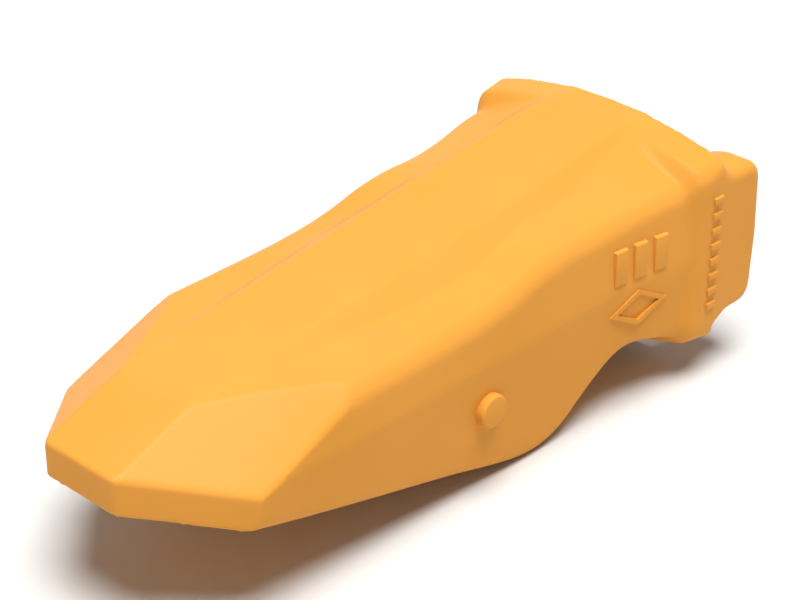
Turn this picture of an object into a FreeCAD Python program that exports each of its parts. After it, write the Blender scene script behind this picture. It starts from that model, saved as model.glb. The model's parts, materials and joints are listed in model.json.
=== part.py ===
"""Excavator bucket tooth: a cast tip, and a turnable half-moon lock pin in each of its two rear ears.

Millimetres, +Z up. The tip points along -Y. The origin is the middle of the adapter socket's mouth, on the
collar's rear face, and +X is the right side.
"""
import FreeCAD, Part
import math
import os
import Sketcher
from FreeCAD import Vector, Rotation, Placement

doc = FreeCAD.newDocument("bucket_tooth")

# ---------------------------------------------------------------- driving dimensions
DIMENSIONS = (
    # overall sizes of the casting
    ("tip_length", 288.0, "front edge to the collar's rear face"),
    ("nose_half", 52.4, "half width of the nose and the waist, at the fold"),
    ("collar_half", 60.4, "half width of the collar, to the ears' outer faces"),
    ("crown_height", 50.3, "socket axis to the collar's crown"),
    ("collar_shoulder", 40.8, "socket axis to the collar's upper and lower side edges"),
    ("under_share", 0.96, "depth of the collar's underside as a share of its crown"),
    ("collar_length", 15.0, "front to rear of the collar band"),
    ("collar_step", 4.0, "how far the collar stands proud of the neck at its corners"),
    # nose
    ("edge_half", 18.0, "half width of the square front edge"),
    ("edge_thickness", 12.7, "height of the front edge"),
    ("edge_lift", 0.6, "middle of the front edge above the socket axis"),
    ("edge_sweep", 37.6, "how far the outer corners lie behind the front edge"),
    ("bevel_angle", 21.7, "slope of the nose's top bevel"),
    ("facet_drop", 9.8, "how far the bevel's outer corner lies below the front edge"),
    ("side_draft", 4.0, "lean of the side walls away from the fold"),
    ("shoulder_radius", 10.0, "rounding between shoulder and side wall"),
    ("rib_radius", 7.0, "rounding along the centre rib"),
    # adapter socket
    ("socket_depth", 150.0, "mouth to the bearing face at the socket's end"),
    ("collar_wall", 18.4, "collar's side face to the socket's mouth"),
    ("crown_wall", 18.3, "collar's crown to the socket's mouth"),
    ("flat_inset", 21.0, "ear's half height less that of the mouth's upright sides"),
    ("socket_end_half", 26.0, "half width of the socket's end"),
    ("socket_end_rise", 11.0, "half height of the socket's end"),
    ("end_corner", 5.0, "corner flats at the socket's end"),
    # ears
    ("ear_reach", 27.6, "collar's rear face to the ear's rear edge"),
    ("ear_rise", 33.0, "half height of the ear"),
    ("ear_lift", 1.2, "how far the ear's middle lies above the socket axis"),
    ("ear_corner", 10.0, "rounding of the ear's rear corners"),
    ("ear_edge", 4.5, "rounding round the ear's outer face"),
    ("ear_root", 5.0, "how far the ear widens up and down where it leaves the collar"),
    ("ear_bow", 1.6, "how far the rear edge bows out"),
    ("ear_inner", 30.0, "inner limit of the ear, from the middle plane"),
    # lock pin, its bore and what sits round it
    ("pin_radius", 8.0, "round part of the lock pin"),
    ("pin_inset", 3.0, "pin's axis to the ear's inner face"),
    ("pin_setback", 8.8, "collar's rear face to the pin's axis"),
    ("bore_roof", 11.2, "ear's top to the blind end of the bore"),
    ("running_gap", 0.05, "radial clearance of the pin in its bore and sleeve"),
    ("end_gap", 0.3, "clearance above the pin and round moving ends"),
    ("sleeve_wall", 1.2, "wall of the polymer sleeve"),
    ("cam_margin", 0.5, "how far the half-moon cut passes the open part of the bore"),
    ("seal_section", 1.6, "thickness of the O-rings"),
    ("seal_inset", 2.0, "pin's end to the middle of its seal"),
    ("stub_half", 3.6, "half width of the square drive stub"),
    ("stub_length", 6.6, "length of the square drive stub"),
    ("dowel_radius", 1.5, "stop dowel and detent plug"),
    ("dowel_circle", 4.4, "pin's axis to the stop dowel's axis"),
    ("dowel_depth", 7.0, "length of dowel and plug in the pin"),
    ("dowel_stand", 2.4, "how far the stop dowel stands out of the pin"),
    ("detent_stand", 1.0, "how far the detent's dome stands out of the pin"),
    ("slot_depth", 2.9, "depth of the half-circle stop slot"),
    ("ring_inset", 6.0, "ear's bottom to the retaining ring's lower face"),
    ("ring_thickness", 1.2, "retaining ring"),
    ("ring_seat", 1.2, "how far the fitted retaining ring reaches past the pin"),
    ("ring_band", 1.9, "radial width of the retaining ring"),
    ("washer_thickness", 1.0, "thrust washer"),
    ("disc_height", 1.2, "free height of the disc spring"),
    ("disc_thickness", 0.6, "sheet of the disc spring"),
    ("cap_radius", 6.0, "outer radius of the drive cap"),
    ("cap_gap", 0.1, "clearance of the drive cap on the stub"),
    # cast-on details
    ("button_radius", 7.0, "round button on the side wall"),
    ("button_stand", 4.0, "how far the button stands out"),
    ("mark_stand", 1.2, "how far the raised marks stand out"),
    ("mark_middle", 45.5, "collar's rear face to the middle of the blocks and the frame on the neck"),
    ("block_length", 7.6, "front to rear of each raised block on the neck"),
    ("block_height", 16.0, "each raised block"),
    ("block_pitch", 10.8, "spacing of the blocks"),
    ("block_lift", 12.0, "socket axis to the middle of the blocks"),
    ("frame_length", 31.0, "raised diamond frame below the blocks"),
    ("frame_height", 16.0, "the frame, corner to corner"),
    ("frame_drop", 9.2, "socket axis to the middle of the frame"),
    ("pip_length", 6.4, "short bars in the column on the collar"),
    ("pip_height", 4.0, "each short bar"),
    ("pip_pitch", 6.9, "spacing of the short bars"),
    ("pip_lift", 1.5, "socket axis to the middle of the column"),
    ("pip_setback", 4.2, "collar's rear face to the middle of the column"),
    ("root_depth", 8.0, "how far the button and the marks are sunk into the wall"),
)

# Sizes that follow from the ones above, as formulas of the sheet.
FORMULAS = (
    ("socket_half", "collar_half - collar_wall", "half width of the socket's mouth; the ear's inner face"),
    ("mouth_rise", "crown_height - crown_wall", "half height of the socket's mouth"),
    ("mouth_flat", "ear_rise - flat_inset", "half height of the mouth's upright sides"),
    ("mouth_corner", "mouth_rise - mouth_flat", "corner flats at the socket's mouth"),
    ("ear_top", "ear_rise + ear_lift", "height of the ear's top"),
    ("ear_bottom", "ear_lift - ear_rise", "height of the ear's bottom"),
    ("pin_x", "socket_half + pin_inset", "middle plane to the pin's axis"),
    ("cam_half", "mouth_flat + pin_radius - pin_inset + cam_margin", "half length of the half-moon cut"),
    ("bore_radius", "pin_radius + running_gap", "plain ends of the bore"),
    ("sleeve_radius", "bore_radius + sleeve_wall", "wide middle of the bore"),
    ("bore_top", "ear_top - bore_roof", "blind end of the bore"),
    ("pin_top", "bore_top - end_gap", "top of the pin"),
    ("ring_radius", "pin_radius + ring_seat", "outer radius of the fitted retaining ring"),
    ("ring_bottom", "ear_bottom + ring_inset", "lower face of the retaining ring"),
    ("washer_bottom", "ring_bottom + ring_thickness", "lower face of the thrust washer"),
    ("disc_bottom", "washer_bottom + washer_thickness", "lower edge of the disc spring"),
    ("pin_bottom", "disc_bottom + disc_height + running_gap", "lower end of the pin's round part"),
    ("pin_length", "pin_top - pin_bottom", "length of the pin's round part"),
    ("stub_bottom", "pin_bottom - stub_length", "lower end of the drive stub"),
    ("seal_mid", "pin_radius - seal_section / 2", "radius of the O-rings' middle circle"),
    ("cap_top", "washer_bottom + running_gap", "upper face of the drive cap"),
)

dims = doc.addObject("Spreadsheet::Sheet", "Dims")
for row, (alias, value, note) in enumerate(DIMENSIONS + FORMULAS, start=1):
    dims.set("A%d" % row, alias)
    dims.set("B%d" % row, str(value) if isinstance(value, float) else "=" + value)
    dims.set("C%d" % row, note)
    dims.setAlias("B%d" % row, alias)
doc.recompute()


def size(alias):
    """Value of one driving dimension."""
    return float(dims.get(alias))


def bind(item, **formulas):
    """Tie properties of a document object to the sheet; a name stands for its cell."""
    for prop, formula in formulas.items():
        words = formula.replace("(", " ( ").replace(")", " ) ").split()
        tied = ["Dims." + word if word in ALIASES else word for word in words]
        item.setExpression(prop.replace("__", "."), " ".join(tied))
    return item


ALIASES = {alias for alias, value, note in DIMENSIONS + FORMULAS}
PARTS = []


def name_part(item, label):
    """Give a sub-part its own label, which also names its file."""
    item.Label = label
    PARTS.append(item)
    return item


# ---------------------------------------------------------------- sizes that follow from the sheet
TIP = size("tip_length")
SOCKET_HALF = size("socket_half")
MOUTH_RISE = size("mouth_rise")
PIN_X = size("pin_x")
PIN_Y = size("pin_setback")
PIN_TOP = size("pin_top")
PIN_BOTTOM = size("pin_bottom")
BORE_TOP = size("bore_top")
RING_BOTTOM = size("ring_bottom")
BORE_RADIUS = size("bore_radius")
SLEEVE_RADIUS = size("sleeve_radius")
CAM_HALF = size("cam_half")


# ---------------------------------------------------------------- shape helpers
def rounded_wire(points, radii):
    """Closed wire through the points, with a tangent arc at each corner whose radius is not zero."""
    count = len(points)
    starts, ends, mids = [], [], []
    for index, (corner, radius) in enumerate(zip(points, radii)):
        back = (points[index - 1] - corner)
        ahead = (points[(index + 1) % count] - corner)
        room = 0.45 * min(back.Length, ahead.Length)
        back.normalize()
        ahead.normalize()
        half = back.getAngle(ahead) / 2
        if radius == 0 or half > math.radians(89.5):
            starts.append(corner)
            ends.append(corner)
            mids.append(None)
            continue
        reach = min(radius / math.tan(half), room)
        true_radius = reach * math.tan(half)
        bisector = (back + ahead).normalize()
        mids.append(corner + bisector * (true_radius / math.sin(half) - true_radius))
        starts.append(corner + back * reach)
        ends.append(corner + ahead * reach)
    edges = []
    for index in range(count):
        if mids[index] is not None:
            edges.append(Part.Arc(starts[index], mids[index], ends[index]).toShape())
        edges.append(Part.LineSegment(ends[index], starts[(index + 1) % count]).toShape())
    return Part.Wire(edges)


def mirrored_ring(half_points, half_radii):
    """A ring of points from its right half, which runs from the top middle to the bottom middle."""
    left = [Vector(-p.x, p.y, p.z) for p in reversed(half_points[1:-1])]
    return half_points + left, half_radii + list(reversed(half_radii[1:-1]))


def prism(points, radii, direction):
    """Solid from a closed outline, pushed along a vector."""
    return Part.Face(rounded_wire(points, radii)).extrude(direction)


def octagon(y, half, rise, corner):
    """Octagonal ring square to the Y axis."""
    flat_x, flat_z = half - corner, rise - corner
    quarter = ((flat_x, rise), (half, flat_z), (half, -flat_z), (flat_x, -rise))
    right = [Vector(px, y, pz) for px, pz in quarter]
    left = [Vector(-px, y, pz) for px, pz in reversed(quarter)]
    return right + left


def feature(name, shape):
    """Document object for a shape that has no parametric form."""
    item = doc.addObject("Part::Feature", name)
    item.Shape = shape
    return item


def boolean(kind, name, base, tool):
    item = doc.addObject("Part::" + kind, name)
    item.Base = base
    item.Tool = tool
    return item


# ---------------------------------------------------------------- casting: lines of the outer skin
# Each station is one cross-section: share of the tip's length from the front edge, then shares of the
# collar's half width (side) and of the crown height (all heights), with the rib and valley half widths
# as shares of the nose's half width. The keel is the flat underside between the side walls.
KEEL_HALF = 0.60
KEEL_FOOT = 0.68
STATIONS = (
    # at,  side, rib top, rib half, valley, valley z, shoulder, belly side, belly
    (-0.02, 0.868, 0.324, 0.345, 0.360, 0.310, 0.310, -0.123, -0.123),
    (0.14, 0.868, 0.435, 0.345, 0.365, 0.427, 0.370, -0.362, -0.362),
    (0.30, 0.868, 0.547, 0.355, 0.468, 0.477, 0.412, -0.618, -0.618),
    (0.44, 0.868, 0.648, 0.362, 0.573, 0.496, 0.410, -0.827, -0.827),
    (0.52, 0.868, 0.706, 0.368, 0.616, 0.527, 0.421, -0.952, -0.952),
    (0.57, 0.868, 0.742, 0.372, 0.621, 0.556, 0.457, -1.036, -1.036),
    (0.61, 0.868, 0.769, 0.375, 0.611, 0.591, 0.515, -1.093, -1.093),
    (0.65, 0.868, 0.799, 0.378, 0.589, 0.641, 0.584, -1.125, -1.129),
    (0.695, 0.868, 0.833, 0.380, 0.564, 0.687, 0.616, -1.085, -1.133),
    (0.75, 0.870, 0.873, 0.385, 0.570, 0.717, 0.604, -0.871, -1.109),
    (0.81, 0.885, 0.917, 0.385, 0.549, 0.774, 0.620, -0.626, -0.982),
    (0.87, 0.925, 0.962, 0.380, 0.501, 0.863, 0.656, -0.596, -0.839),
    (0.935, 0.962, 0.990, 0.370, 0.441, 0.952, 0.666, -0.708, -0.859),
    (1.00, 0.970, 0.994, 0.370, 0.430, 0.966, 0.686, -0.775, -0.974),
)


def station_wire(station):
    """Cross-section of the skin: rib, valley, shoulder, two-facet side wall, belly side and belly."""
    at, side, rib_top, rib_half, valley, valley_z, shoulder, belly_side, belly = station
    y = (at - 1.0) * TIP
    height = size("crown_height")
    nose = size("nose_half")
    half = side * size("collar_half")
    lean = math.tan(math.radians(size("side_draft")))
    top = shoulder * height
    low = belly_side * height
    right = [
        Vector(0, y, rib_top * height),
        Vector(rib_half * nose, y, rib_top * height),
        Vector(valley * nose, y, valley_z * height),
        Vector(half - top * lean, y, top),
        Vector(half, y, 0),
        Vector(half + low * lean, y, low),
        Vector(KEEL_FOOT * nose, y, low),
        Vector(KEEL_HALF * nose, y, belly * height),
        Vector(0, y, belly * height),
    ]
    rib, shoulder_round = size("rib_radius"), size("shoulder_radius")
    radii = [0, rib, 0, shoulder_round, 0, shoulder_round / 2, 0, 0, 0]
    points, rounds = mirrored_ring(right, radii)
    return rounded_wire(points, rounds)


def half_space(origin, along, across, outward):
    """Block that lies on the outward side of a plane, for cutting the nose's flat faces."""
    along = Vector(along).normalize() * TIP
    across = Vector(across).normalize() * TIP
    outward = Vector(outward).normalize() * TIP
    corners = [origin + along * a + across * b for a, b in ((-1, -1), (1, -1), (1, 1), (-1, 1))]
    return Part.Face(Part.makePolygon(corners + corners[:1])).extrude(outward)


def both_sides(shape):
    """A shape and its mirror image in the middle plane."""
    return [shape, shape.mirror(Vector(0, 0, 0), Vector(1, 0, 0))]


def nose_cuts():
    """Blocks that cut the top bevel and the two side facets off the skin."""
    edge_top = size("edge_lift") + size("edge_thickness") / 2
    rise = math.radians(size("bevel_angle"))
    up_bevel = Vector(0, math.cos(rise), math.sin(rise))
    corner = Vector(size("edge_half"), -TIP, edge_top)
    outer = Vector(size("nose_half"), -TIP + size("edge_sweep"), edge_top - size("facet_drop"))
    across = outer - corner
    bevel = half_space(corner, up_bevel, Vector(1, 0, 0), Vector(0, -math.sin(rise), math.cos(rise)))
    facet = half_space(corner, up_bevel, across, across.cross(up_bevel))
    return [bevel] + both_sides(facet)


def plan_outline():
    """Prism whose swept front gives the nose its square front edge and its two raked edges."""
    edge, nose, sweep = size("edge_half"), size("nose_half"), size("edge_sweep")
    wide = 1.3 * size("collar_half")
    back = -TIP + sweep * (wide - edge) / (nose - edge)
    tall = 2 * size("crown_height")
    right = [(edge, -TIP), (wide, back), (wide, TIP)]
    outline = right + [(-px, py) for px, py in reversed(right)]
    points = [Vector(px, py, -tall) for px, py in outline]
    return prism(points, [0] * len(points), Vector(0, 0, 2 * tall))


def arch_wire(y, half, crown, side, corner):
    """Collar section: arched top and a slightly shallower underside, upright sides, rounded corners."""
    low = -size("under_share")
    arch = (half * half + (crown - side) ** 2) / (2 * (crown - side))
    middle = crown - arch
    corner_x = half - corner
    corner_z = middle + math.sqrt((arch - corner) ** 2 - corner_x ** 2)
    centre = Vector(corner_x, y, corner_z)
    reach = arch / (arch - corner)
    meet = Vector(corner_x * reach, y, middle + (corner_z - middle) * reach)
    level = Vector(half, y, corner_z)
    bulge = centre + (meet + level - 2 * centre).normalize() * corner

    def flip(p, sx, sz):
        return Vector(sx * p.x, p.y, sz * p.z)

    edges = [Part.Arc(flip(meet, -1, 1), Vector(0, y, crown), meet).toShape()]
    edges.append(Part.Arc(meet, bulge, level).toShape())
    edges.append(Part.LineSegment(level, flip(level, 1, low)).toShape())
    edges.append(Part.Arc(flip(level, 1, low), flip(bulge, 1, low), flip(meet, 1, low)).toShape())
    edges.append(Part.Arc(flip(meet, 1, low), Vector(0, y, low * crown), flip(meet, -1, low)).toShape())
    edges.append(Part.Arc(flip(meet, -1, low), flip(bulge, -1, low), flip(level, -1, low)).toShape())
    edges.append(Part.LineSegment(flip(level, -1, low), flip(level, -1, 1)).toShape())
    edges.append(Part.Arc(flip(level, -1, 1), flip(bulge, -1, 1), flip(meet, -1, 1)).toShape())
    return Part.Wire(edges)


def collar():
    """Collar band, with a steep ramp at its front that runs down into the neck."""
    half, crown, side = size("collar_half"), size("crown_height"), size("collar_shoulder")
    length, step = size("collar_length"), size("collar_step")
    sections = (
        # all in steps: ahead of the band's front, in from the side, down from the crown, down from the
        # shoulder, corner rounding
        (1.6, 1.3, 0.40, 2.4, 2.0),
        (0.0, 0.2, 0.05, 0.4, 2.0),
    )
    rings = [arch_wire(-length - ahead * step, half - aside * step, crown - sunk * step, side - drop * step,
                       corner * step) for ahead, aside, sunk, drop, corner in sections]
    rings.append(arch_wire(0, half, crown, side, 1.2 * step))
    return Part.makeLoft(rings, True, True)


def ear():
    """Right ear: a plate behind the collar whose inner side carries on the socket's octagon."""
    reach, top, bottom = size("ear_reach"), size("ear_top"), size("ear_bottom")
    inner, outer = size("ear_inner"), size("collar_half")
    bow, corner, flare, edge = size("ear_bow"), size("ear_corner"), size("ear_root"), size("ear_edge")
    root = -0.8 * size("collar_length")
    profile = (
        # y, z, rounding
        (root, top + flare, 0),
        (0, top + flare, corner),
        (1.5 * flare, top, corner),
        (reach - bow, top, corner),
        (reach, 0, 6 * corner),
        (reach - bow, bottom, 1.2 * corner),
        (1.8 * flare, bottom, corner),
        (0, bottom - flare, corner),
        (root, bottom - flare, 0),
    )
    points = [Vector(inner, py, pz) for py, pz, rounding in profile]
    plate = prism(points, [rounding for py, pz, rounding in profile], Vector(outer - inner, 0, 0))
    rim = [line for line in plate.Edges
           if line.BoundBox.XMin > outer - 0.01 and line.BoundBox.YMax > root + 0.01]
    plate = plate.makeFillet(edge, rim)
    chamfer_foot = Vector(inner, root - 1, top - 0.25 * (outer - inner))
    chamfer_top = Vector(outer - 0.42 * (outer - inner), root - 1, top + 0.5)
    ceiling = top + flare + 1
    outer_ceiling = Vector(chamfer_top.x, root - 1, ceiling)
    above = [chamfer_foot, chamfer_top, outer_ceiling, Vector(inner, root - 1, ceiling)]
    bevel = prism(above, [0] * len(above), Vector(0, reach - root + 2, 0))
    return plate.cut(bevel)


def socket():
    """Tapered octagonal socket, and its straight run-out between the ears."""
    mouth = octagon(0, SOCKET_HALF, MOUTH_RISE, size("mouth_corner"))
    end = octagon(-size("socket_depth"), size("socket_end_half"), size("socket_end_rise"), size("end_corner"))
    taper = Part.makeLoft([rounded_wire(end, [0] * 8), rounded_wire(mouth, [0] * 8)], True, True)
    run_out = prism(mouth, [0] * 8, Vector(0, size("ear_reach") + 1, 0))
    return [taper, run_out]


def stop_slot():
    """Half-circle slot in the roof of the right bore, which the stop dowel runs in."""
    circle = size("dowel_circle")
    half_width = 1.1 * size("dowel_radius")
    centre = Vector(PIN_X, PIN_Y, BORE_TOP - 0.1)
    depth = size("slot_depth") + 0.1
    ring = Part.makeCylinder(circle + half_width, depth, centre).cut(
        Part.makeCylinder(circle - half_width, depth, centre))
    span = 2 * (circle + half_width)
    half = Part.makeBox(span, span, depth, centre - Vector(0, span / 2, 0))
    ends = [Part.makeCylinder(half_width, depth, centre + Vector(0, side * circle, 0)) for side in (1, -1)]
    return ring.common(half).fuse(ends)


def lock_bore():
    """Right bore: two plain journals, a wider middle for the sleeve, and the ring's groove."""
    floor = size("ear_bottom") - size("ear_root") - 1
    line = Vector(PIN_X, PIN_Y, floor)
    journal = Part.makeCylinder(BORE_RADIUS, BORE_TOP - floor, line)
    middle = CAM_HALF + size("cam_margin")
    seat = Part.makeCylinder(SLEEVE_RADIUS, 2 * middle, Vector(PIN_X, PIN_Y, -middle))
    groove = Part.makeCylinder(size("ring_radius") + size("running_gap"),
                               size("ring_thickness") + 2 * size("running_gap"),
                               Vector(PIN_X, PIN_Y, RING_BOTTOM - size("running_gap")))
    return journal.fuse([seat, groove, stop_slot()])


def rough_casting():
    """Outer skin with its nose cut to shape, the collar and both ears."""
    skin = Part.makeLoft([station_wire(station) for station in STATIONS], True, False, False, 2)
    nose = skin.common(plan_outline()).cut(nose_cuts())
    return nose.fuse([collar()] + both_sides(ear()))


outside = feature("casting_outside", rough_casting())
hollows = feature("casting_hollows", Part.makeCompound(socket() + both_sides(lock_bore())))
hollowed = boolean("Cut", "casting_hollowed", outside, hollows)


# ---------------------------------------------------------------- casting: button and raised marks
def turned_x(item, x, y, z):
    """Lay a cylinder or cone along +X at a place."""
    item.Placement = Placement(Vector(x, y, z), Rotation(Vector(0, 1, 0), 90))
    return item


def wall_x(y, z):
    """Half width of the casting's side wall at a place."""
    at = y / TIP + 1
    nearest = min(range(len(STATIONS) - 1), key=lambda k: abs(STATIONS[k][0] + STATIONS[k + 1][0] - 2 * at))
    first, second = STATIONS[nearest], STATIONS[nearest + 1]
    share = (at - first[0]) / (second[0] - first[0])
    side = first[1] + share * (second[1] - first[1])
    return side * size("collar_half") - abs(z) * math.tan(math.radians(size("side_draft")))


BUTTON_AT = (-0.458 * TIP, -0.394 * size("crown_height"))
CHAMFER_SHARE = 0.3
FRAME_OPENING = 0.72
PIPS = 8


def cast_button():
    """Round button with a chamfered rim, on the right side wall."""
    by, bz = BUTTON_AT
    wall = wall_x(by, bz)
    straight = (1 - CHAMFER_SHARE) * size("button_stand")
    shank = bind(doc.addObject("Part::Cylinder", "button_shank"), Radius="button_radius",
                 Height="root_depth + %s * button_stand" % (1 - CHAMFER_SHARE))
    turned_x(shank, wall - size("root_depth"), by, bz)
    rim = bind(doc.addObject("Part::Cone", "button_rim"), Radius1="button_radius",
               Radius2="0.82 * button_radius", Height="%s * button_stand" % CHAMFER_SHARE)
    turned_x(rim, wall + straight, by, bz)
    return [shank, rim]


def raised_bar(name, y, z, length, height):
    """Plain raised bar on the right side wall, set square to the wall where it flares."""
    root = size("root_depth") / 2
    front, rear = wall_x(y - length / 2, z), wall_x(y + length / 2, z)
    if y > -size("collar_length"):
        front = rear = size("collar_half")
    flare = math.degrees(math.atan2(rear - front, length))
    item = doc.addObject("Part::Box", name)
    item.Length = root + size("mark_stand")
    item.Width = length
    item.Height = height
    turn = Rotation(Vector(0, 0, 1), -flare)
    foot = turn.multVec(Vector(-root, -length / 2, -height / 2))
    item.Placement = Placement(Vector((front + rear) / 2, y, z) + foot, turn)
    return item


def diamond(x, y, z, scale):
    """Prism along X with a diamond outline, centred on a place."""
    along, upright = scale * size("frame_length") / 2, scale * size("frame_height") / 2
    corners = [Vector(x, y - along, z), Vector(x, y, z - upright),
               Vector(x, y + along, z), Vector(x, y, z + upright)]
    return prism(corners, [0] * len(corners), Vector(size("root_depth"), 0, 0))


def raised_frame(y, z):
    """Plain raised diamond frame on the right side wall, set square to the wall where it flares."""
    reach = size("frame_length") / 2
    front, rear = wall_x(y - reach, z), wall_x(y + reach, z)
    foot = (front + rear) / 2 + size("mark_stand") - size("root_depth")
    frame = diamond(foot, y, z, 1).cut(diamond(foot, y, z, FRAME_OPENING))
    flare = math.degrees(math.atan2(rear - front, 2 * reach))
    frame.rotate(Vector((front + rear) / 2, y, z), Vector(0, 0, 1), -flare)
    return feature("mark_frame", frame)


def cast_marks():
    """Blank marks: three blocks and a diamond frame on the neck, a column of short bars on the collar."""
    middle = -size("mark_middle")
    marks = [raised_frame(middle, -size("frame_drop"))]
    for k in (-1, 0, 1):
        y = middle + k * size("block_pitch")
        block = raised_bar("mark_block", y, size("block_lift"), size("block_length"), size("block_height"))
        marks.append(block)
    for k in range(PIPS):
        z = size("pip_lift") + (k - (PIPS - 1) / 2) * size("pip_pitch")
        marks.append(raised_bar("pip", -size("pip_setback"), z, size("pip_length"), size("pip_height")))
    return marks


doc.recompute()
proud = doc.addObject("Part::MultiFuse", "right_proud")
proud.Shapes = cast_button() + cast_marks()
proud_left = doc.addObject("Part::Mirroring", "left_proud")
proud_left.Source = proud
proud_left.Normal = Vector(1, 0, 0)
casting = doc.addObject("Part::MultiFuse", "tip_casting_whole")
casting.Shapes = [hollowed, proud, proud_left]
name_part(casting, "tip_casting")
doc.recompute()
volume = round(casting.Shape.Volume / 1000, 1)
print("casting", casting.Shape.isValid(), len(casting.Shape.Solids), volume, "cm3")


# ---------------------------------------------------------------- lock hardware, one set in each ear
def origin_plane(body, role):
    """One of a body's own base planes."""
    return next(item for item in body.Origin.OriginFeatures if item.Role == role)


def sketch_on(body, name, role="XY_Plane"):
    sketch = body.newObject("Sketcher::SketchObject", name)
    sketch.AttachmentSupport = [(origin_plane(body, role), "")]
    sketch.MapMode = "FlatFace"
    return sketch


def circle(sketch, formula, start_radius):
    """Circle about the sketch's origin, with its radius tied to the sheet."""
    index = sketch.addGeometry(Part.Circle(Vector(0, 0, 0), Vector(0, 0, 1), start_radius), False)
    sketch.addConstraint(Sketcher.Constraint("Coincident", index, 3, -1, 1))
    radius = sketch.addConstraint(Sketcher.Constraint("Radius", index, start_radius))
    bind(sketch, **{"Constraints[%d]" % radius: formula})
    return index


def at_pin(item, side, z, turn=0):
    """Stand a lock piece on its ear's pin axis; the left set is the right one turned half round."""
    turn += 0 if side > 0 else 180
    item.Placement = Placement(Vector(side * PIN_X, PIN_Y, z), Rotation(Vector(0, 0, 1), turn))
    return item


def flat_ring(label, outer, inner, thickness, outer_start):
    """Flat ring: a padded sketch of two circles, whose lower face is the body's base plane."""
    body = doc.addObject("PartDesign::Body", label + "_body")
    sketch = sketch_on(body, label + "_outline")
    circle(sketch, outer, outer_start)
    circle(sketch, inner, 0.8 * outer_start)
    pad = body.newObject("PartDesign::Pad", label + "_pad")
    pad.Profile = sketch
    bind(pad, Length=thickness)
    return body


def pin_sleeve(label, side):
    """C-shaped liner, cut away where the ear's inner faces leave the pin open."""
    tube = flat_ring(label, "sleeve_radius - running_gap", "bore_radius", "2 * cam_half", 9.0)
    at_pin(tube, side, -CAM_HALF)
    window = feature(label + "_window", socket()[1])
    return boolean("Cut", label + "_open", tube, window)


def o_ring(label, side, z):
    ring = bind(doc.addObject("Part::Torus", label), Radius1="seal_mid",
                Radius2="seal_section / 2 - running_gap / 2")
    return at_pin(ring, side, z)


def retaining_ring(label, side):
    """Internal snap ring: a flat ring with a gap, and an eyelet lug on each side of the gap."""
    ring = flat_ring(label, "ring_radius", "ring_radius - ring_band", "ring_thickness", 9.2)
    at_pin(ring, side, RING_BOTTOM)
    gap = bind(doc.addObject("Part::Box", label + "_gap"), Length="ring_radius", Width="ring_band",
               Height="ring_thickness")
    gap.Placement = ring.Placement * Placement(Vector(0, -size("ring_band") / 2, 0), Rotation())
    opened = boolean("Cut", label + "_opened", ring, gap)
    lugs = []
    for k in (1, -1):
        lug = doc.addObject("Part::Cylinder", label + "_lug")
        lug.Radius = 0.75 * size("ring_band")
        lug.Height = size("ring_thickness")
        eye = doc.addObject("Part::Cylinder", label + "_eye")
        eye.Radius = 0.35 * size("ring_band")
        eye.Height = size("ring_thickness")
        reach = size("ring_radius") - size("ring_band")
        place = Placement(Vector(reach, k * 1.25 * size("ring_band"), 0), Rotation())
        lug.Placement = eye.Placement = ring.Placement * place
        lugs.append((lug, eye))
    whole = doc.addObject("Part::MultiFuse", label + "_lugged")
    whole.Shapes = [opened] + [lug for lug, eye in lugs]
    eyes = doc.addObject("Part::MultiFuse", label + "_eyes")
    eyes.Shapes = [eye for lug, eye in lugs]
    return boolean("Cut", label + "_pierced", whole, eyes)


def disc_spring(label, side):
    """Dished disc spring, small end up."""
    bore, rim = size("pin_radius") - 1.5, size("pin_radius") - size("end_gap")
    cone_height, sheet = size("disc_height") - size("disc_thickness"), size("disc_thickness")
    body = doc.addObject("PartDesign::Body", label + "_body")
    sketch = sketch_on(body, label + "_section", "XZ_Plane")
    corners = ((bore, cone_height), (rim, 0), (rim, sheet), (bore, cone_height + sheet))
    points = [Vector(px, pz, 0) for px, pz in corners]
    for start, end in zip(points, points[1:] + points[:1]):
        sketch.addGeometry(Part.LineSegment(start, end), False)
    spin = body.newObject("PartDesign::Revolution", label + "_spin")
    spin.Profile = sketch
    spin.ReferenceAxis = (sketch, ["V_Axis"])
    spin.Angle = 360
    return at_pin(body, side, size("disc_bottom"))


def drive_cap(label, side):
    """Rubber cap that fills the bore's mouth below the ring and grips the square stub."""
    floor = size("ear_bottom") + size("end_gap")
    cup = bind(doc.addObject("Part::Cylinder", label + "_cup"), Radius="cap_radius")
    cup.Height = size("cap_top") - floor
    at_pin(cup, side, floor)
    pocket = doc.addObject("Part::Box", label + "_pocket")
    across = 2 * (size("stub_half") + size("cap_gap"))
    pocket_floor = size("stub_bottom") - size("cap_gap")
    pocket.Length = pocket.Width = across
    pocket.Height = size("cap_top") - pocket_floor
    at_pin(pocket, side, pocket_floor)
    pocket.Placement = pocket.Placement * Placement(Vector(-across / 2, -across / 2, 0), Rotation())
    return boolean("Cut", label + "_hollow", cup, pocket)


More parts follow.
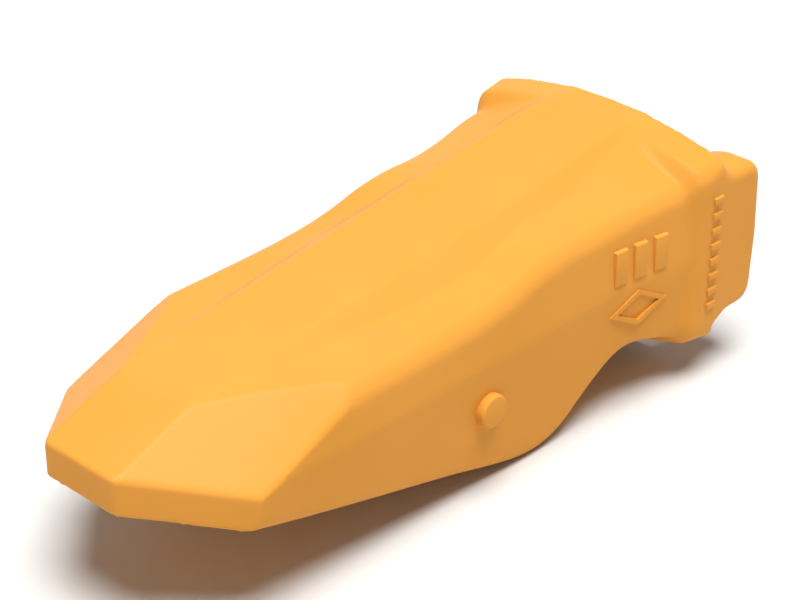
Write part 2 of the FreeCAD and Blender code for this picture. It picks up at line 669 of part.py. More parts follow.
def lock_pin(label, side):
    """Half-moon cam pin: two round journals with seal grooves, a flat between, a square drive stub."""
    barrel = bind(doc.addObject("Part::Cylinder", label + "_barrel"), Radius="pin_radius",
                  Height="pin_length")
    at_pin(barrel, side, PIN_BOTTOM)
    stub = bind(doc.addObject("Part::Box", label + "_stub"), Length="2 * stub_half", Width="2 * stub_half",
                Height="stub_length")
    at_pin(stub, side, size("stub_bottom"))
    stub.Placement = stub.Placement * Placement(Vector(-size("stub_half"), -size("stub_half"), 0), Rotation())
    solid = boolean("Fuse", label + "_solid", barrel, stub)
    flat = bind(doc.addObject("Part::Box", label + "_flat"), Length="pin_radius", Width="2 * pin_radius + 2",
                Height="2 * cam_half")
    at_pin(flat, side, -CAM_HALF)
    inset = Placement(Vector(size("pin_inset"), -size("pin_radius") - 1, 0), Rotation())
    flat.Placement = flat.Placement * inset
    tools = [flat]
    for z in (PIN_TOP - size("seal_inset"), PIN_BOTTOM + size("seal_inset")):
        groove = flat_ring(label + "_groove", "pin_radius + 1", "pin_radius - seal_section - running_gap",
                           "seal_section + 2 * running_gap", 9.0)
        tools.append(at_pin(groove, side, z - size("seal_section") / 2 - size("running_gap")))
    for k in (1, -1):
        socket_hole = bind(doc.addObject("Part::Cylinder", label + "_hole"), Radius="dowel_radius",
                           Height="dowel_depth")
        at_pin(socket_hole, side, PIN_TOP - size("dowel_depth"))
        shift = Placement(Vector(0, k * size("dowel_circle"), 0), Rotation())
        socket_hole.Placement = socket_hole.Placement * shift
        tools.append(socket_hole)
    removed = doc.addObject("Part::MultiFuse", label + "_removed")
    removed.Shapes = tools
    return boolean("Cut", label + "_finished", solid, removed)


def stop_dowel(label, side):
    """Steel dowel on the +Y side of the right pin's top."""
    dowel = bind(doc.addObject("Part::Cylinder", label + "_rod"), Radius="dowel_radius",
                 Height="dowel_depth + dowel_stand")
    at_pin(dowel, side, PIN_TOP - size("dowel_depth"))
    dowel.Placement = dowel.Placement * Placement(Vector(0, size("dowel_circle"), 0), Rotation())
    return dowel


def detent_plug(label, side):
    """Rubber plug across from the stop dowel, whose dome snaps into the free end of the slot."""
    rod = bind(doc.addObject("Part::Cylinder", label + "_rod"), Radius="dowel_radius",
               Height="dowel_depth + detent_stand")
    at_pin(rod, side, PIN_TOP - size("dowel_depth"))
    rod.Placement = rod.Placement * Placement(Vector(0, -size("dowel_circle"), 0), Rotation())
    ball = bind(doc.addObject("Part::Sphere", label + "_ball"), Radius="dowel_depth + detent_stand")
    ball.Placement = rod.Placement
    return boolean("Common", label + "_domed", rod, ball)


SEALS = (("upper", PIN_TOP - size("seal_inset")), ("lower", PIN_BOTTOM + size("seal_inset")))
for word, side in (("right", 1), ("left", -1)):
    name_part(lock_pin(word + "_lock", side), word + "_lock_pin")
    name_part(pin_sleeve(word + "_sleeve", side), word + "_pin_sleeve")
    for place, z in SEALS:
        label = "%s_%s_seal" % (word, place)
        name_part(o_ring(label + "_ring", side, z), label)
    name_part(stop_dowel(word + "_stop", side), word + "_stop_dowel")
    name_part(detent_plug(word + "_detent", side), word + "_detent_plug")
    name_part(disc_spring(word + "_disc", side), word + "_disc_spring")
    washer = flat_ring(word + "_washer", "pin_radius - running_gap", "ring_radius - ring_band",
                       "washer_thickness", 7.9)
    name_part(at_pin(washer, side, size("washer_bottom")), word + "_thrust_washer")
    name_part(retaining_ring(word + "_snap", side), word + "_retaining_ring")
    name_part(drive_cap(word + "_cap", side), word + "_drive_cap")
doc.recompute()

for item in doc.Objects:
    if "Invalid" in item.State or "Error" in item.State:
        raise RuntimeError("%s failed: %s" % (item.Name, item.State))

os.makedirs("parts", exist_ok=True)
for item in PARTS:
    shape = item.Shape
    if shape.isNull() or not shape.isValid():
        raise RuntimeError("%s has no valid shape" % item.Label)
    shape.exportStep("parts/%s.step" % item.Label)
    print(item.Label, len(shape.Solids), round(shape.Volume / 1000, 2), "cm3")
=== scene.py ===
"""Excavator bucket tooth: the cast tip's skin, its lock hardware and a plain studio.

Metres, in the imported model's own frame: the tip points along -Y, +X is its right side, +Z is up, and the
origin is the middle of the adapter socket's mouth. Where the casting's points are picked out by their place,
the places are in millimetres, and a comment says so.
"""
import json
import math

import bpy
import numpy as np
from mathutils import Euler, Matrix, Vector


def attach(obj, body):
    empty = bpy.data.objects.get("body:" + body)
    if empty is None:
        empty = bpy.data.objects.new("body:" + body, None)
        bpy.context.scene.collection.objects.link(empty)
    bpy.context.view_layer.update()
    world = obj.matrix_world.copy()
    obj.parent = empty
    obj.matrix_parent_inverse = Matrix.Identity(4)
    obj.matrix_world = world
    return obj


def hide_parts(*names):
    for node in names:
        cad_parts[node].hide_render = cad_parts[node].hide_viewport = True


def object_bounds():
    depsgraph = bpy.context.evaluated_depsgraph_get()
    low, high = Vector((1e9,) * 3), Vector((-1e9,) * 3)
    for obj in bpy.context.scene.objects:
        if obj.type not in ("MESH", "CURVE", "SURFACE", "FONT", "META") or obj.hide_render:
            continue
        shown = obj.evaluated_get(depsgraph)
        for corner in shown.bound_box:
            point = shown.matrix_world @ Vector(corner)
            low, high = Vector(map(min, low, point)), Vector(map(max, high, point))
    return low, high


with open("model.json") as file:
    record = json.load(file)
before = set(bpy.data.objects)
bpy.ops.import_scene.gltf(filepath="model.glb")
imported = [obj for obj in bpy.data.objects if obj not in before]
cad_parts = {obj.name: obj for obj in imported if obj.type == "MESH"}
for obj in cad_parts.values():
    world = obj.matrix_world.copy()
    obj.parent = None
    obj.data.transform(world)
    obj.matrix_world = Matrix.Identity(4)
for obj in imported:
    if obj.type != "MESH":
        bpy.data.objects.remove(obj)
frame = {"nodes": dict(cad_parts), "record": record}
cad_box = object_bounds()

MM = 0.001
NODES = frame["nodes"]
RECORD = frame["record"]
BODY_OF = {node: body for body, nodes in RECORD["behaviour"]["bodies"].items() for node in nodes}
SLOT_OF = {part["node"]: part["material_slot"] for part in RECORD["subparts"]}
JOINT_OF = {joint["name"]: joint for joint in RECORD["behaviour"]["joints"]}
PIN_AT = Vector(JOINT_OF["right_lock_turn"]["pos_m"])
SOCKET_DEPTH = next(m for m in RECORD["mounts"] if m["name"] == "adapter_socket")["dims"]["length_mm"] * MM


# ---------------------------------------------------------------- colour, nodes and edit-mode helpers
def linear(hex_colour):
    """sRGB hex to the linear colour that the shaders want."""
    parts = [int(hex_colour[k:k + 2], 16) / 255 for k in (1, 3, 5)]
    curved = [p / 12.92 if p <= 0.04045 else ((p + 0.055) / 1.055) ** 2.4 for p in parts]
    return (*curved, 1.0)


def add(tree, kind, settings=None, inputs=None):
    """Adds a shader node with its settings; an input is a value or another node's output."""
    node = tree.nodes.new(kind)
    for name, value in (settings or {}).items():
        setattr(node, name, value)
    for name, value in (inputs or {}).items():
        if isinstance(value, bpy.types.NodeSocket):
            tree.links.new(value, node.inputs[name])
        else:
            node.inputs[name].default_value = value
    return node


def new_material(name):
    """Empty material: its tree, and a function that plugs a shader into the surface."""
    material = bpy.data.materials.new(name)
    material.use_nodes = True
    tree = material.node_tree
    tree.nodes.clear()
    output = add(tree, "ShaderNodeOutputMaterial")

    def finish(shader, name="BSDF"):
        tree.links.new(shader.outputs[name], output.inputs["Surface"])
        return material

    return tree, finish


def grains(size):
    """Noise scale, in cycles per metre, for grains of a real size in millimetres."""
    return 1 / (size * MM)


def only(piece):
    """Make one object the whole selection."""
    if bpy.context.object is not None and bpy.context.object.mode != "OBJECT":
        bpy.ops.object.mode_set(mode="OBJECT")
    bpy.ops.object.select_all(action="DESELECT")
    piece.select_set(True)
    bpy.context.view_layer.objects.active = piece
    return piece


def applied(piece, kind, **settings):
    """Put a modifier on an object, set it up and apply it."""
    only(piece)
    modifier = piece.modifiers.new("step", kind)
    for name, value in settings.items():
        setattr(modifier, name, value)
    bpy.ops.object.modifier_apply(modifier=modifier.name)
    return piece


def placed(piece):
    """Put an object's place, turn and size into its mesh."""
    only(piece)
    bpy.ops.object.transform_apply(location=True, rotation=True, scale=True)
    return piece


def merged_copy(node, name):
    """A CAD node's mesh as a new piece, with its loose triangles joined up."""
    piece = bpy.data.objects.new(name, NODES[node].data.copy())
    bpy.context.scene.collection.objects.link(piece)
    only(piece)
    bpy.ops.object.mode_set(mode="EDIT")
    bpy.ops.mesh.select_all(action="SELECT")
    bpy.ops.mesh.remove_doubles(threshold=0.001 * MM)
    bpy.ops.object.mode_set(mode="OBJECT")
    return piece


def copy_of(piece):
    """A copy with a mesh of its own."""
    twin = piece.copy()
    twin.data = piece.data.copy()
    bpy.context.scene.collection.objects.link(twin)
    return twin


def smooth_by_angle(piece, degrees):
    """Smooth shading that keeps edges sharper than an angle."""
    only(piece)
    bpy.ops.object.shade_smooth_by_angle(angle=math.radians(degrees))


def stands_for(piece, node, material):
    """The piece takes a CAD node's place, body, slot and finish."""
    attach(piece, BODY_OF[node])
    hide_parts(node)
    piece.data.materials.clear()
    piece.data.materials.append(material)
    return piece


# ---------------------------------------------------------------- finishes
NOISE_RANGE = (0.3, 0.7)  # where nearly all of a noise's values lie
LINE_COARSENING = 2 * math.pi  # tool lines are drawn this many times their real pitch, so that they show
WAVE_PHASE = 20  # radians that a band texture turns through in a metre, for each unit of its scale


def ramp(tree, fac, stops):
    """Colour ramp driven by a value: stops are (position, hex colour)."""
    node = add(tree, "ShaderNodeValToRGB", inputs={"Fac": fac})
    elements = node.color_ramp.elements
    while len(elements) < len(stops):
        elements.new(1.0)
    for element, (position, hex_colour) in zip(elements, stops):
        element.position = position
        element.color = linear(hex_colour)
    return node.outputs["Color"]


def noise(tree, place, size, detail=2.0):
    """Noise with grains of a real size in millimetres."""
    node = add(tree, "ShaderNodeTexNoise", inputs={"Vector": place, "Scale": grains(size), "Detail": detail})
    return node.outputs["Fac"]


def spread(tree, value, low, high):
    """The middle of a noise's range, stretched from low to high."""
    node = add(tree, "ShaderNodeMapRange", inputs={
        "Value": value, "From Min": NOISE_RANGE[0], "From Max": NOISE_RANGE[1],
        "To Min": low, "To Max": high})
    return node.outputs["Result"]


def blend(tree, share, first, second):
    """Mix of two values: share 0 gives the first, 1 the second."""
    node = add(tree, "ShaderNodeMix", {"data_type": "FLOAT"}, {"Factor": share, "A": first, "B": second})
    return node.outputs["Result"]


def relief(tree, height, strength, depth):
    """Bump of a real depth in millimetres."""
    node = add(tree, "ShaderNodeBump", inputs={
        "Strength": strength, "Distance": depth * MM, "Height": height})
    return node.outputs["Normal"]


def orange_enamel():
    """Satin orange-yellow enamel sprayed on cast steel: an even warm coat whose sheen breaks up a little over
    the sand-cast skin. Inside the socket and the lock bores it thins to bare steel with mill scale."""
    tree, finish = new_material("satin_enamel_on_cast_steel")
    place = add(tree, "ShaderNodeTexCoord").outputs["Object"]
    # coat thickness drifts over about 70 mm, which the eye sees as a slight change of warmth
    coat = ramp(tree, noise(tree, place, 70), ((0.35, "#D8933A"), (0.65, "#DC9640")))
    # sand-cast skin of 1.5 mm grains under the paint, and the paint's own 4 mm orange peel
    sand = noise(tree, place, 1.5, 3.0)
    peel = noise(tree, place, 4, 1.0)
    paint = add(tree, "ShaderNodeBsdfPrincipled", inputs={
        "Base Color": coat, "Roughness": spread(tree, peel, 0.40, 0.48),
        "IOR": 1.5, "Specular IOR Level": 0.03, "Coat Weight": 0.12, "Coat IOR": 1.3, "Coat Roughness": 0.15,
        "Normal": relief(tree, blend(tree, 0.5, sand, peel), 0.06, 0.25)})
    # bare steel: blue-grey scale with rust blooms a few millimetres across
    bloom = noise(tree, place, 6, 5.0)
    steel = add(tree, "ShaderNodeBsdfPrincipled", inputs={
        "Base Color": ramp(tree, bloom, ((0.40, "#4A4644"), (0.72, "#7A5A45"))), "Roughness": 0.62,
        "Metallic": 0.55, "Normal": relief(tree, sand, 0.5, 0.3)})
    # overspray fades out in a mottled edge
    bare = add(tree, "ShaderNodeAttribute", {"attribute_name": "bare"}).outputs["Fac"]
    edge = add(tree, "ShaderNodeMath", {"operation": "ADD"}, {0: bare, 1: bloom})
    share = add(tree, "ShaderNodeMapRange", inputs={
        "Value": edge.outputs["Value"], "From Min": 0.85, "From Max": 1.15, "To Min": 0.0, "To Max": 1.0})
    both = add(tree, "ShaderNodeMixShader", inputs={
        0: share.outputs["Result"], 1: paint.outputs["BSDF"], 2: steel.outputs["BSDF"]})
    return finish(both, "Shader")


def hardware_finish(name, colours, stain, lines, line_pitch, gloss, depth, metallic):
    """A machined or moulded surface: stains a few millimetres across, fine lines square to Z, and its sheen.

    colours are the stain's stops, stain its size, and line_pitch and depth are in millimetres; lines is the
    share of the relief that comes from the tool's lines, the rest being grain.
    """
    tree, finish = new_material(name)
    place = add(tree, "ShaderNodeTexCoord").outputs["Object"]
    stains = noise(tree, place, stain, 4.0)
    drawn_pitch = LINE_COARSENING * line_pitch
    tool = add(tree, "ShaderNodeTexWave", {"wave_type": "BANDS", "bands_direction": "Z"}, {
        "Vector": place, "Scale": math.tau * grains(drawn_pitch) / WAVE_PHASE,
        "Distortion": 1.5, "Detail": 2.0})
    grain = noise(tree, place, 4 * line_pitch, 2.0)
    shader = add(tree, "ShaderNodeBsdfPrincipled", inputs={
        "Base Color": ramp(tree, stains, colours), "Metallic": metallic,
        "Roughness": spread(tree, stains, gloss - 0.06, gloss + 0.06),
        "Normal": relief(tree, blend(tree, lines, grain, tool.outputs["Fac"]), 0.4, depth)})
    return finish(shader)


def hardware_finishes():
    """One finish for each material slot of the lock hardware."""
    return {
        # oiled dark forging, turned bright brown-grey on its journals
        "forged_pin_steel": hardware_finish(
            "turned_forged_steel", ((0.35, "#5C5752"), (0.65, "#77706A")), 3.0, 0.8, 0.4, 0.38, 0.03, 0.9),
        # warm off-white acetal, slightly waxy
        "sleeve_polymer": hardware_finish(
            "moulded_acetal", ((0.3, "#D8D2C2"), (0.7, "#E3DECF")), 5.0, 0.3, 0.5, 0.45, 0.03, 0.0),
        # black nitrile with a grey bloom
        "seal_rubber": hardware_finish(
            "nitrile_rubber", ((0.4, "#17171A"), (0.75, "#2B2B2E")), 1.2, 0.2, 0.3, 0.55, 0.03, 0.0),
        # ground bright and hard
        "hardened_dowel_steel": hardware_finish(
            "ground_dowel_steel", ((0.3, "#8E9296"), (0.7, "#A6AAAE")), 2.0, 0.9, 0.2, 0.25, 0.01, 1.0),
        # dull red urethane
        "detent_rubber": hardware_finish(
            "cast_urethane", ((0.3, "#8C2F24"), (0.7, "#A33E30")), 2.0, 0.1, 0.4, 0.5, 0.03, 0.0),
        # tempered from straw to blue
        "spring_steel": hardware_finish(
            "blued_spring_steel", ((0.35, "#3C4654"), (0.65, "#6B6152")), 4.0, 0.5, 0.3, 0.32, 0.01, 1.0),
        # pale zinc with a faint yellow cast
        "zinc_plated_steel": hardware_finish(
            "zinc_plate", ((0.35, "#A9ADB0"), (0.65, "#BDBBAA")), 1.5, 0.3, 0.3, 0.35, 0.01, 1.0),
        # near-black crystalline phosphate
        "phosphated_steel": hardware_finish(
            "phosphate_coat", ((0.35, "#2F3032"), (0.7, "#46474A")), 0.6, 0.1, 0.2, 0.6, 0.03, 0.5),
        # black moulded cap, dusty where it is handled
        "cap_rubber": hardware_finish(
            "moulded_cap_rubber", ((0.4, "#1C1C1E"), (0.8, "#3A3733")), 3.0, 0.3, 0.5, 0.62, 0.05, 0.0),
    }


# ---------------------------------------------------------------- lock hardware
EASES = {
    # broken edge of each kind of lock part, in millimetres; a seal has none
    "lock_pin": 0.25, "pin_sleeve": 0.15, "upper_seal": 0.0, "lower_seal": 0.0, "stop_dowel": 0.15,
    "detent_plug": 0.2, "disc_spring": 0.04, "thrust_washer": 0.08, "retaining_ring": 0.12, "drive_cap": 0.35,
}


def eased(node, ease, material):
    """A lock part with its machined edges broken, in its finish."""
    piece = merged_copy(node, node + "_finished")
    bpy.ops.object.mode_set(mode="EDIT")
    bpy.ops.mesh.select_all(action="SELECT")
    bpy.ops.mesh.dissolve_limited(angle_limit=math.radians(1.0))
    bpy.ops.object.mode_set(mode="OBJECT")
    applied(piece, "BEVEL", width=ease * MM, segments=2, limit_method="ANGLE", angle_limit=math.radians(40),
            use_clamp_overlap=True)
    smooth_by_angle(piece, 30)
    return stands_for(piece, node, material)


def lock_hardware(finishes):
    """Both sides' lock parts; the seals keep their CAD mesh, which has no edge to break."""
    for side in ("right", "left"):
        for kind, ease in EASES.items():
            node = side + "_" + kind
            if ease:
                eased(node, ease, finishes[SLOT_OF[node]])
            else:
                NODES[node].material_slots[0].material = finishes[SLOT_OF[node]]


# ---------------------------------------------------------------- the cast tip's skin
SKIN_VOXEL = 0.9 * MM
SKIN_TRIANGLES = 175000
SKIN_SMOOTHINGS = 9
BODY_SMOOTHINGS = 6
FILLET_SMOOTHINGS = 6
WEIGHT_STEPS = 20
SKEW = (0.61, 0.43, 0.52)
# in millimetres
NOSE_END = -205.0
NOSE_BLEND = 30.0
COLLAR_MIDDLE = -19.0
COLLAR_REACH = 20.0
EAR_ROOT = 3.0
EAR_REACH = 12.0
EAR_SHARE = 0.8
BORE_KEEP = (10.0, 12.0)  # distance from a lock pin's axis over which the smoothing sets in
REAR_KEEP = (-2.0, 3.0)  # distance ahead of the rear face over which the fillets set in


def turned(piece, turn):
    """Turn a piece about the origin and apply the turn."""
    piece.matrix_world = turn
    return placed(piece)


def resampled(piece):
    """Even mesh all over the piece. It is made at a skew, so that no edge runs along the sampling grid and
    steps like a stair."""
    skew = Euler(SKEW).to_matrix().to_4x4()
    turned(piece, skew)
    applied(piece, "REMESH", mode="VOXEL", voxel_size=SKIN_VOXEL)
    turned(piece, skew.inverted())


def points_of(piece):
    """Vertex places in millimetres, one row each."""
    places = np.empty(3 * len(piece.data.vertices), dtype=np.float32)
    piece.data.vertices.foreach_get("co", places)
    return places.reshape(-1, 3) / MM


def rise(values, start, end):
    """0 before start, 1 after end, and smooth between."""
    share = np.clip((values - start) / (end - start), 0, 1)
    return share * share * (3 - 2 * share)


def hump(values, middle, reach):
    """1 over the inner third of a reach on either side of the middle, falling smoothly to 0 at its end."""
    return 1 - rise(np.abs(values - middle), 0.35 * reach, reach)


def pin_distance(points):
    """Distance in millimetres from the nearer lock pin's axis."""
    return np.hypot(np.abs(points[:, 0]) - PIN_AT.x / MM, points[:, 1] - PIN_AT.y / MM)


def off_bores(points):
    """0 at the lock bores' walls, 1 away from them."""
    return rise(pin_distance(points), *BORE_KEEP)


def cast_fillets(points):
    """Where the mould's fillets soften the skin most: round the collar and the ears' roots."""
    collar = hump(points[:, 1], COLLAR_MIDDLE, COLLAR_REACH)
    ears = hump(points[:, 1], EAR_ROOT, EAR_REACH)
    return off_bores(points) * np.maximum(collar, EAR_SHARE * ears) * rise(-points[:, 1], *REAR_KEEP)


def body(points):
    """The body is a little softer than the nose, whose flat faces meet in crisp edges."""
    return off_bores(points) * rise(points[:, 1], NOSE_END - NOSE_BLEND, NOSE_END)


def soften(piece, weight, iterations):
    """Smooth a piece where a weight of its points says so."""
    group = piece.vertex_groups.new(name="soft")
    steps = np.round(weight(points_of(piece)) * WEIGHT_STEPS).astype(int)
    for step in range(1, WEIGHT_STEPS + 1):
        group.add(np.nonzero(steps == step)[0].tolist(), step / WEIGHT_STEPS, "REPLACE")
    applied(piece, "SMOOTH", factor=0.5, iterations=iterations, vertex_group="soft")
    piece.vertex_groups.clear()


# ---------------------------------------------------------------- the cast tip's lock bores
# radius, from z, to z: the pin's journals, the sleeve's seat and the snap ring's groove
BORE_CUTS = (
    (8.05 * MM, cad_box[0].z, 23.0 * MM),
    (9.25 * MM, -18.0 * MM, 18.0 * MM),
    (9.25 * MM, -25.85 * MM, -24.55 * MM),
)
BORE_SIDES = 128


def cylinder_tool(radius, low, high, side):
    """Upright cylinder on a lock pin's axis."""
    bpy.ops.object.select_all(action="DESELECT")
    bpy.ops.mesh.primitive_cylinder_add(vertices=BORE_SIDES, radius=radius, depth=high - low,
                                        location=(side * PIN_AT.x, PIN_AT.y, (low + high) / 2))
    return bpy.context.object


def cut_bores(piece):
    """Bore both ears clean again."""
    for side in (1, -1):
        for radius, low, high in BORE_CUTS:
            tool = cylinder_tool(radius, low, high, side)
            applied(piece, "BOOLEAN", operation="DIFFERENCE", solver="MANIFOLD", object=tool)
            bpy.data.objects.remove(tool)


# ---------------------------------------------------------------- the cast tip's button and marks
MARK_ROOT = 2.5 * MM  # how far a mark reaches into the wall
BUTTON = {"radius": 7.0 * MM, "stand": 4.0 * MM, "bevel": 1.1 * MM}
DIAMOND = {"length": 31 * MM, "height": 16 * MM, "band": 1.9 * MM, "stand": 1.2 * MM}
BLOCK = {"length": 7.6 * MM, "height": 16 * MM, "stand": 1.3 * MM, "bevel": 0.4 * MM}
PIP = {"length": 6.4 * MM, "height": 4.0 * MM, "stand": 1.15 * MM, "bevel": 0.45 * MM}
# places on the side wall, as y and z in millimetres
BUTTON_AT = (-131.9, -19.8)
DIAMOND_AT = (-45.5, -9.2)
BLOCKS_AT = [(-45.5 + k * 10.8, 12.0) for k in (-1, 0, 1)]
PIPS_AT = [(-4.2, 1.5 + (k - 3.5) * 6.9) for k in range(8)]
DRAFT = 0.35  # slope of a bar's sides
WALL_OUTSIDE = 0.2  # half width, in metres, from which the side wall is looked for
WALL_LEAST_X = 48.0  # in millimetres: the side wall is nowhere nearer the middle
MARK_ZONES = (
    # patches of side wall under the blocks, the diamond, the short bars and the button: y from, y to, z from
    # and z to, in millimetres
    (-63.5, -27.5, 1.5, 22.5),
    (-64.5, -26.5, -19.8, 0.8),
    (-9.0, 0.0, -27.5, 30.0),
    (-141.5, -122.5, -29.5, -10.5),
)


def wall_at(piece, side, y, z):
    """Point and normal of the side wall, met from outside."""
    outside = Vector((side * WALL_OUTSIDE, y * MM, z * MM))
    hit, foot, normal, face = piece.ray_cast(outside, Vector((-side, 0, 0)))
    return foot, normal


def press_flat(piece):
    """Press the sampled marks flat, so that clean ones can take their places."""
    points = points_of(piece)
    x, y, z = np.abs(points[:, 0]), points[:, 1], points[:, 2]
    pressed = {}
    for y0, y1, z0, z1 in MARK_ZONES:
        inside = (x > WALL_LEAST_X) & (y > y0) & (y < y1) & (z > z0) & (z < z1)
        for index in np.nonzero(inside)[0].tolist():
            side = 1 if points[index, 0] > 0 else -1
            low, high = (wall_at(piece, side, y[index], end)[0].x for end in (z0, z1))
            share = (z[index] - z0) / (z1 - z0)
            pressed[index] = low + share * (high - low)
    for index, wall_x in pressed.items():
        piece.data.vertices[index].co.x = wall_x
    piece.data.update()


def wall_frame(skin, side, y, z):
    """Where a raised mark stands on the side wall: its foot, and axes with Z out of the wall."""
    foot, normal = wall_at(skin, side, y, z)
    normal = Vector((normal.x, normal.y, 0)).normalized()
    along = Vector((0, 0, 1)).cross(normal)
    turn = Matrix((along, Vector((0, 0, 1)), normal)).transposed().to_4x4()
    return Matrix.Translation(foot) @ turn


def set_in_wall(mark, skin, side, y, z):
    """Move a mark, modelled at the origin and pointing up, onto the wall."""
    mark.matrix_world = wall_frame(skin, side, y, z)
    return placed(mark)


def faces_facing_up(piece, least=0.9):
    """Select, in edit mode, the faces that point up, and nothing else."""
    only(piece)
    bpy.ops.object.mode_set(mode="EDIT")
    bpy.ops.mesh.select_mode(type="FACE")
    bpy.ops.mesh.select_all(action="DESELECT")
    bpy.ops.object.mode_set(mode="OBJECT")
    for face in piece.data.polygons:
        face.select = face.normal.z > least
    bpy.ops.object.mode_set(mode="EDIT")


def rounded(piece, bevel):
    """Round a mark's edges."""
    return applied(piece, "BEVEL", width=bevel, segments=3, limit_method="ANGLE")


def bar(length, height, stand, bevel):
    """Raised bar with drafted sides and rounded edges, standing on z = 0."""
    bpy.ops.object.select_all(action="DESELECT")
    bpy.ops.mesh.primitive_cube_add(size=1, location=(0, 0, (stand - MARK_ROOT) / 2),
                                    scale=(length, height, stand + MARK_ROOT))
    piece = placed(bpy.context.object)
    faces_facing_up(piece)
    draft = DRAFT * stand
    bpy.ops.transform.resize(value=(1 - 2 * draft / length, 1 - 2 * draft / height, 1))
    bpy.ops.object.mode_set(mode="OBJECT")
    return rounded(piece, bevel)


def prism(sides, radius, stand):
    """Upright prism that stands on z = 0 and reaches below it."""
    bpy.ops.object.select_all(action="DESELECT")
    bpy.ops.mesh.primitive_cylinder_add(vertices=sides, radius=radius, depth=stand + MARK_ROOT,
                                        location=(0, 0, (stand - MARK_ROOT) / 2))
    return placed(bpy.context.object)


def disc(radius, stand, bevel):
    """Raised disc with a rounded edge."""
    return rounded(prism(96, radius, stand), bevel)


def diamond_frame(length, height, band, stand):
    """Raised diamond frame round a recess that reaches half-way down its root."""
    piece = prism(4, 0.5, stand)
    piece.scale = (length, height, 1)
    placed(piece)
    faces_facing_up(piece)
    bpy.ops.mesh.inset(thickness=band)
    bpy.ops.mesh.extrude_region_move(TRANSFORM_OT_translate={"value": (0, 0, -stand - MARK_ROOT / 2)})
    bpy.ops.object.mode_set(mode="OBJECT")
    return piece


def cast_marks(skin):
    """The button, and the blank marks: three blocks and a diamond frame on each neck, a column of short bars
    on each collar."""
    button, diamond, block, pip = disc(**BUTTON), diamond_frame(**DIAMOND), bar(**BLOCK), bar(**PIP)
    places = [(button, *BUTTON_AT), (diamond, *DIAMOND_AT)]
    places += [(block, *at) for at in BLOCKS_AT] + [(pip, *at) for at in PIPS_AT]
    marks = [set_in_wall(copy_of(kind), skin, side, y, z) for side in (1, -1) for kind, y, z in places]
    for kind in (button, diamond, block, pip):
        bpy.data.objects.remove(kind)
    only(marks[0])
    for mark in marks:
        mark.select_set(True)
    bpy.ops.object.join()
    return bpy.context.object


# ---------------------------------------------------------------- the cast tip, whole
SOCKET_ENDS = (-0.01, 1.01)  # just past both ends, in shares of the socket's depth
BARE_FROM = (0.05, 0.35)  # where the paint gives out, in shares of the socket's depth
BARE_AT_MOUTH = 0.15
# in millimetres
SOCKET_HALF = (42.8, 32.8)  # half width and half height of the space inside, at the mouth
SOCKET_TAPER = (16, 21)  # and how much of each is lost at the far end
BORE_BARE_RADIUS = 9.6
BORE_BARE_Z = (-30, 24)


def mark_bare_steel(piece):
    """Attribute that says how bare the steel is: it rises into the socket and is full in the lock bores."""
    points = points_of(piece)
    x, y, z = np.abs(points[:, 0]), points[:, 1], points[:, 2]
    depth = -y * MM / SOCKET_DEPTH
    half_x, half_z = (half - taper * depth for half, taper in zip(SOCKET_HALF, SOCKET_TAPER))
    in_socket = (depth > SOCKET_ENDS[0]) & (depth < SOCKET_ENDS[1]) & (x < half_x) & (np.abs(z) < half_z)
    in_bore = (pin_distance(points) < BORE_BARE_RADIUS) & (z > BORE_BARE_Z[0]) & (z < BORE_BARE_Z[1])
    values = np.maximum(in_bore, in_socket * (BARE_AT_MOUTH + (1 - BARE_AT_MOUTH) * rise(depth, *BARE_FROM)))
    attribute = piece.data.attributes.new("bare", "FLOAT", "POINT")
    attribute.data.foreach_set("value", values.astype(np.float32))


def triangles(piece):
    """How many triangles a mesh comes to."""
    return sum(len(face.vertices) - 2 for face in piece.data.polygons)


def tip_skin(paint):
    """The casting: the CAD shape with a mould's soft fillets, clean bores and raised marks."""
    skin = merged_copy("tip_casting", "tip_skin")
    resampled(skin)
    press_flat(skin)
    applied(skin, "SMOOTH", factor=0.5, iterations=SKIN_SMOOTHINGS)
    soften(skin, body, BODY_SMOOTHINGS)
    soften(skin, cast_fillets, FILLET_SMOOTHINGS)
    applied(skin, "DECIMATE", ratio=SKIN_TRIANGLES / triangles(skin))
    marks = cast_marks(skin)
    applied(skin, "BOOLEAN", operation="UNION", solver="MANIFOLD", object=marks)
    bpy.data.objects.remove(marks)
    cut_bores(skin)
    mark_bare_steel(skin)
    smooth_by_angle(skin, 38)
    return stands_for(skin, "tip_casting", paint)


# ---------------------------------------------------------------- studio
FLOOR_SIZE = 12
CAMERA_AT = (0.5300, -0.6951, 0.4439)
CAMERA_AZIMUTH = 42.99
CAMERA_ELEVATION = 29.44
CAMERA_ROLL = 0.60
CAMERA_LENS = 103.47
KEY_FROM = (0.24, -0.12, 1.40)
KEY_STRENGTH = 4.8
KEY_SPREAD = 35
PANEL_AT = (-1.3, 1.1, 0.95)
PANEL_AIM = (0, -0.13, 0)
PANEL_SIZE = 1.7
PANEL_POWER = 5
# strength of the surroundings: at and below the horizon, and from there up
HORIZON = {"From Min": 0.05, "From Max": 0.30, "To Min": 0.80, "To Max": 0.18}


def pale_floor():
    """Matt pale floor under the tip."""
    bpy.ops.object.select_all(action="DESELECT")
    bpy.ops.mesh.primitive_plane_add(size=FLOOR_SIZE, location=(0, 0, cad_box[0].z))
    floor = placed(bpy.context.object)
    floor.name = "floor"
    tree, finish = new_material("pale_floor")
    floor.data.materials.append(finish(add(tree, "ShaderNodeBsdfPrincipled", inputs={
        "Base Color": linear("#D2D2D0"), "Roughness": 0.9, "Specular IOR Level": 0.1})))


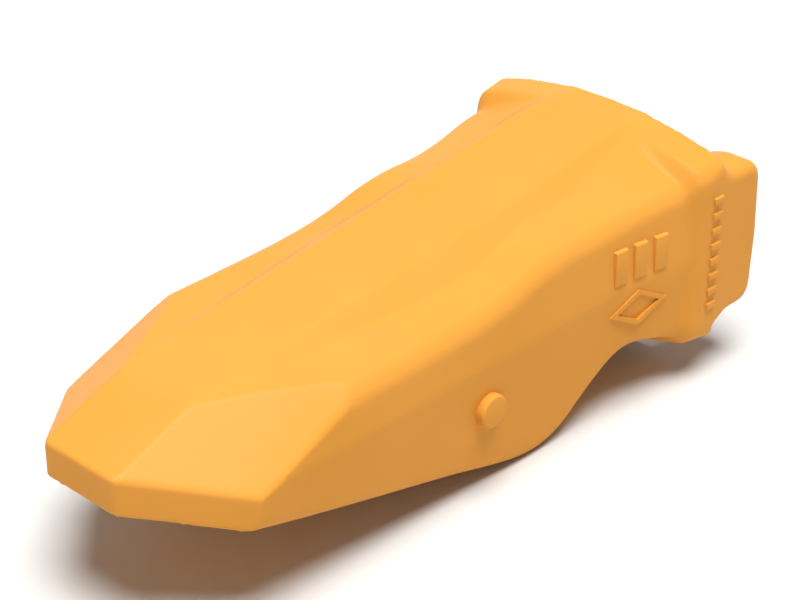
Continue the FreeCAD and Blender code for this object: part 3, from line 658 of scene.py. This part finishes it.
def surroundings():
    """White surroundings, dim overhead and bright along the horizon like a cyclorama's foot."""
    world = bpy.data.worlds.new("studio")
    bpy.context.scene.world = world
    world.use_nodes = True
    tree = world.node_tree
    direction = add(tree, "ShaderNodeSeparateXYZ", inputs={
        "Vector": add(tree, "ShaderNodeTexCoord").outputs["Generated"]})
    glow = add(tree, "ShaderNodeMapRange", {"interpolation_type": "SMOOTHSTEP"}, {
        "Value": direction.outputs["Z"], **HORIZON})
    sky = tree.nodes["Background"]
    sky.inputs["Color"].default_value = (1, 1, 1, 1)
    tree.links.new(glow.outputs["Result"], sky.inputs["Strength"])
    bpy.context.scene.view_settings.view_transform = "Standard"


def light_at(name, kind, coming_from, aim, power):
    """Studio light of a kind, aimed at a point."""
    data = bpy.data.lights.new(name, kind)
    data.energy = power
    light = bpy.data.objects.new(name, data)
    bpy.context.scene.collection.objects.link(light)
    light.location = coming_from
    light.rotation_euler = (Vector(aim) - Vector(coming_from)).to_track_quat("-Z", "Y").to_euler()
    return data


def studio_lights():
    """Even light over the whole floor, as broad as a large silk, and a square panel behind the tip."""
    key = light_at("key", "SUN", KEY_FROM, (0, 0, 0), KEY_STRENGTH)
    key.angle = math.radians(KEY_SPREAD)
    panel = light_at("back_panel", "AREA", PANEL_AT, PANEL_AIM, PANEL_POWER)
    panel.shape = "SQUARE"
    panel.size = PANEL_SIZE


def camera():
    """Long lens from ahead, above and to the right of the tip."""
    azimuth, elevation, roll = (math.radians(a) for a in (CAMERA_AZIMUTH, CAMERA_ELEVATION, CAMERA_ROLL))
    right = Vector((math.cos(azimuth), math.sin(azimuth), 0))
    ahead = Vector((-math.sin(azimuth) * math.cos(elevation), math.cos(azimuth) * math.cos(elevation),
                    -math.sin(elevation)))
    up = right.cross(ahead)
    side = right * math.cos(roll) + up * math.sin(roll)
    top = up * math.cos(roll) - right * math.sin(roll)
    data = bpy.data.cameras.new("camera")
    data.sensor_width = 36
    data.lens = CAMERA_LENS
    eye = bpy.data.objects.new("camera", data)
    bpy.context.scene.collection.objects.link(eye)
    turn = Matrix((side, top, -ahead)).transposed().to_4x4()
    eye.matrix_world = Matrix.Translation(CAMERA_AT) @ turn
    bpy.context.scene.camera = eye


pale_floor()
surroundings()
camera()
studio_lights()
tip_skin(orange_enamel())
lock_hardware(hardware_finishes())
